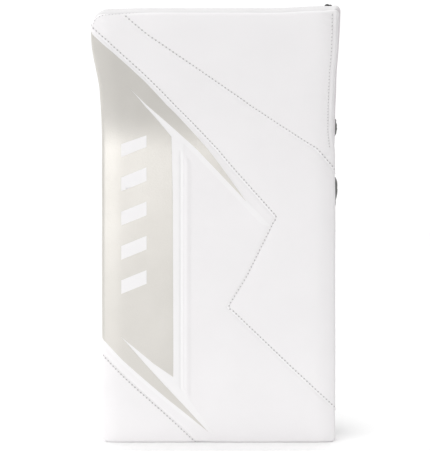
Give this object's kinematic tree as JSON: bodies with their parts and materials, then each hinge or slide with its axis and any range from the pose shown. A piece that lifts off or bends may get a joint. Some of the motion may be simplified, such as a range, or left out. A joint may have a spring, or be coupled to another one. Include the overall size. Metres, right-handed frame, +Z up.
{
  "type": "goalie blocker",
  "caption": "Padded rectangular hand board with a bent upper end, stitched leather face and a jointed glove, cuff and wrist strap behind it.",
  "frame": {"origin": "middle of the board's flat bottom end, which it stands on", "axes": "+Z up the board to the finger end, -Y out of the striking face, +X the thumb side"},
  "size_m": [0.2095, 0.1496, 0.3837],
  "materials": {
    "white_leather": "coated full-grain look, satin",
    "silver_leather": "metallic silver coated leather, satin",
    "back_fabric": "coarse nylon back",
    "grey_binding": "woven tape",
    "soft_foam": "soft closed-cell foam",
    "board_foam": "firm closed-cell foam",
    "plastic_sheet": "sheet polyethylene",
    "black_lace": "waxed lace",
    "nickel": "nickel plated",
    "grey_leather": "coated leather",
    "dark_mesh": "knitted spacer mesh",
    "dark_leather": "coated leather",
    "palm_suede": "microfibre suede",
    "palm_patch_leather": "embossed grip leather",
    "shell_plastic": "moulded shell",
    "black_pile": "hook and loop",
    "grey_webbing": "woven strap"
  },
  "bodies": {
    "board": {"face_panel_upper": "white_leather", "face_panel_middle": "white_leather", "face_panel_main": "white_leather", "face_panel_corner": "white_leather", "wall_outer_side": "white_leather", "wall_thumb_side": "white_leather", "wall_bottom": "white_leather", "wall_top": "white_leather", "white_border": "white_leather", "slanted_bars": "white_leather", "silver_panel": "silver_leather", "board_back_cover": "back_fabric", "back_edge_binding": "grey_binding", "face_foam": "soft_foam", "core_foam": "board_foam", "impact_plate": "plastic_sheet", "lace_knot": "black_lace", "attachment_laces": "black_lace", "eyelets": "nickel", "backhand_base": "grey_leather", "backhand_pad": "soft_foam", "glove_back_liner": "dark_mesh", "palm_leather": "palm_suede", "palm_patch": "palm_patch_leather", "wrist_taper": "dark_mesh", "thumb_saddle": "palm_suede", "index_guard_foam": "dark_leather", "index_guard_plate": "plastic_sheet", "index_guard_lining": "dark_mesh", "outer_guard_foam": "white_leather", "outer_guard_plate": "plastic_sheet", "cuff_back_liner": "dark_mesh", "cuff_outer_wall": "white_leather", "cuff_thumb_wall": "white_leather", "cuff_palm_gusset": "dark_mesh", "cuff_rim_binding": "grey_binding", "cuff_outer_plate": "shell_plastic", "cuff_thumb_plate": "shell_plastic", "loop_patch": "black_pile", "strap_anchor": "grey_binding"},
    "little_proximal": {"little_stall_proximal": "palm_suede"},
    "little_distal": {"little_stall_distal": "palm_suede"},
    "ring_proximal": {"ring_stall_proximal": "palm_suede"},
    "ring_distal": {"ring_stall_distal": "palm_suede"},
    "middle_proximal": {"middle_stall_proximal": "palm_suede"},
    "middle_distal": {"middle_stall_distal": "palm_suede"},
    "index_proximal": {"index_stall_proximal": "palm_suede"},
    "index_distal": {"index_stall_distal": "palm_suede"},
    "thumb": {"thumb_stall": "palm_suede", "thumb_guard": "dark_leather"},
    "strap": {"wrist_strap": "grey_webbing", "hook_patch": "black_pile"}
  },
  "joints": [
    {"name": "little_knuckle", "type": "hinge", "parent": "board", "child": "little_proximal", "pos_m": [-0.016, 0.044, 0.237], "axis": [-1, 0, 0], "range_deg": [0, 75], "stiffness_Nm_per_rad": 0.08},
    {"name": "little_middle_joint", "type": "hinge", "parent": "little_proximal", "child": "little_distal", "pos_m": [-0.016, 0.044, 0.267], "axis": [-1, 0, 0], "range_deg": [0, 65], "stiffness_Nm_per_rad": 0.06},
    {"name": "ring_knuckle", "type": "hinge", "parent": "board", "child": "ring_proximal", "pos_m": [0.008, 0.044, 0.237], "axis": [-1, 0, 0], "range_deg": [0, 75], "stiffness_Nm_per_rad": 0.08},
    {"name": "ring_middle_joint", "type": "hinge", "parent": "ring_proximal", "child": "ring_distal", "pos_m": [0.008, 0.044, 0.275], "axis": [-1, 0, 0], "range_deg": [0, 65], "stiffness_Nm_per_rad": 0.06},
    {"name": "middle_knuckle", "type": "hinge", "parent": "board", "child": "middle_proximal", "pos_m": [0.032, 0.044, 0.237], "axis": [-1, 0, 0], "range_deg": [0, 75], "stiffness_Nm_per_rad": 0.08},
    {"name": "middle_middle_joint", "type": "hinge", "parent": "middle_proximal", "child": "middle_distal", "pos_m": [0.032, 0.044, 0.279], "axis": [-1, 0, 0], "range_deg": [0, 65], "stiffness_Nm_per_rad": 0.06},
    {"name": "index_knuckle", "type": "hinge", "parent": "board", "child": "index_proximal", "pos_m": [0.056, 0.044, 0.237], "axis": [-1, 0, 0], "range_deg": [0, 75], "stiffness_Nm_per_rad": 0.08},
    {"name": "index_middle_joint", "type": "hinge", "parent": "index_proximal", "child": "index_distal", "pos_m": [0.056, 0.044, 0.275], "axis": [-1, 0, 0], "range_deg": [0, 65], "stiffness_Nm_per_rad": 0.06},
    {"name": "thumb_swing", "type": "hinge", "parent": "board", "child": "thumb", "pos_m": [0.0835, 0.044, 0.156], "axis": [-0.9903, 0, 0.1392], "range_deg": [0, 45], "stiffness_Nm_per_rad": 0.1},
    {"name": "strap_peel", "type": "hinge", "parent": "board", "child": "strap", "pos_m": [0.044, 0.0963, 0.065], "axis": [0, 0, 1], "range_deg": [-150, 0]}
  ],
  "couplings": [
    {"joint": "little_middle_joint", "follows": "little_knuckle", "ratio": 0.85},
    {"joint": "ring_middle_joint", "follows": "ring_knuckle", "ratio": 0.85},
    {"joint": "middle_middle_joint", "follows": "middle_knuckle", "ratio": 0.85},
    {"joint": "index_middle_joint", "follows": "index_knuckle", "ratio": 0.85}
  ]
}
